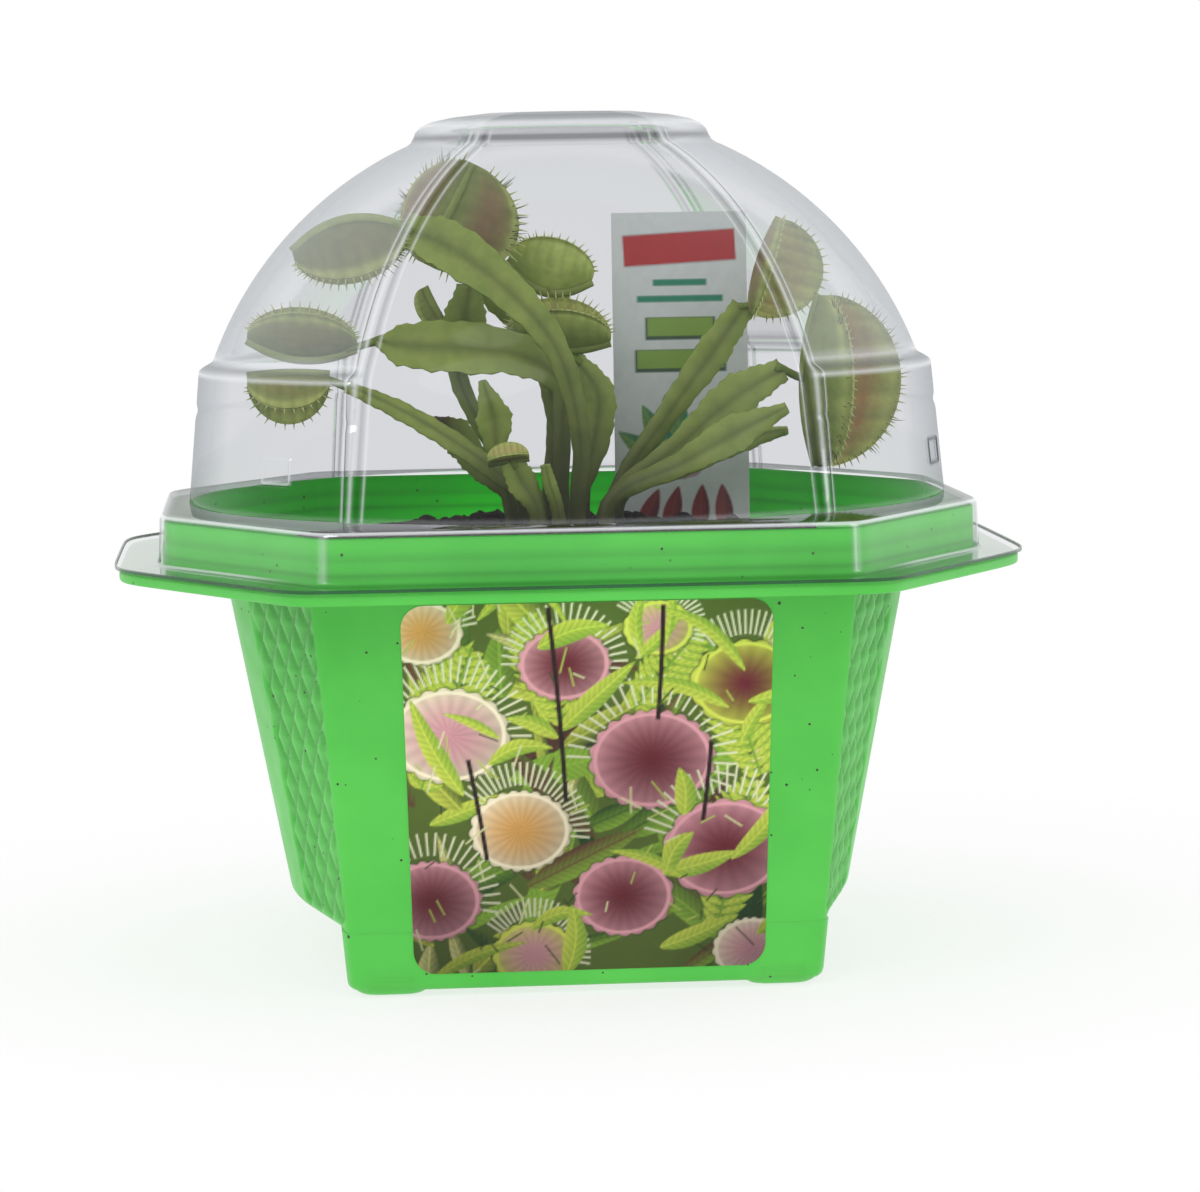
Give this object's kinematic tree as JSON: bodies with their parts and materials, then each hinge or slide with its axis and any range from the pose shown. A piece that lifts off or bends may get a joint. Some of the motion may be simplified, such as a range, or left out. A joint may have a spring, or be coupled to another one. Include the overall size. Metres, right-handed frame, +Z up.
{
  "type": "potted venus flytrap",
  "caption": "Venus flytrap plant with broad leaf stalks and toothed traps, standing in soil in an octagonal plastic pot under a clear dome lid.",
  "frame": {"origin": "centre of the base, at the undersides of the pot's feet", "axes": "+Z up, -Y towards the labelled front of the pot, +X to the right seen from the front"},
  "size_m": [0.16, 0.172, 0.1509],
  "materials": {
    "pot": "satin moulded bright green plastic",
    "soil": null,
    "lid": "thin clear glossy plastic",
    "label": "printed glossy sticker",
    "tag": "pale printed card",
    "leaf": null
  },
  "bodies": {
    "root": {"pot": "pot", "soil": "soil", "lid_dome": "lid", "front_label": "label", "plant_tag": "tag", "flytrap_leaf_01": "leaf", "flytrap_leaf_02": "leaf", "flytrap_leaf_03": "leaf", "flytrap_leaf_04": "leaf", "flytrap_leaf_05": "leaf", "flytrap_leaf_06": "leaf", "flytrap_leaf_07": "leaf", "flytrap_leaf_08": "leaf", "flytrap_leaf_09": "leaf", "flytrap_leaf_10": "leaf", "flytrap_leaf_11": "leaf", "flytrap_leaf_12": "leaf", "flytrap_leaf_13": "leaf", "flytrap_leaf_14": "leaf", "flytrap_leaf_15": "leaf"}
  },
  "joints": []
}
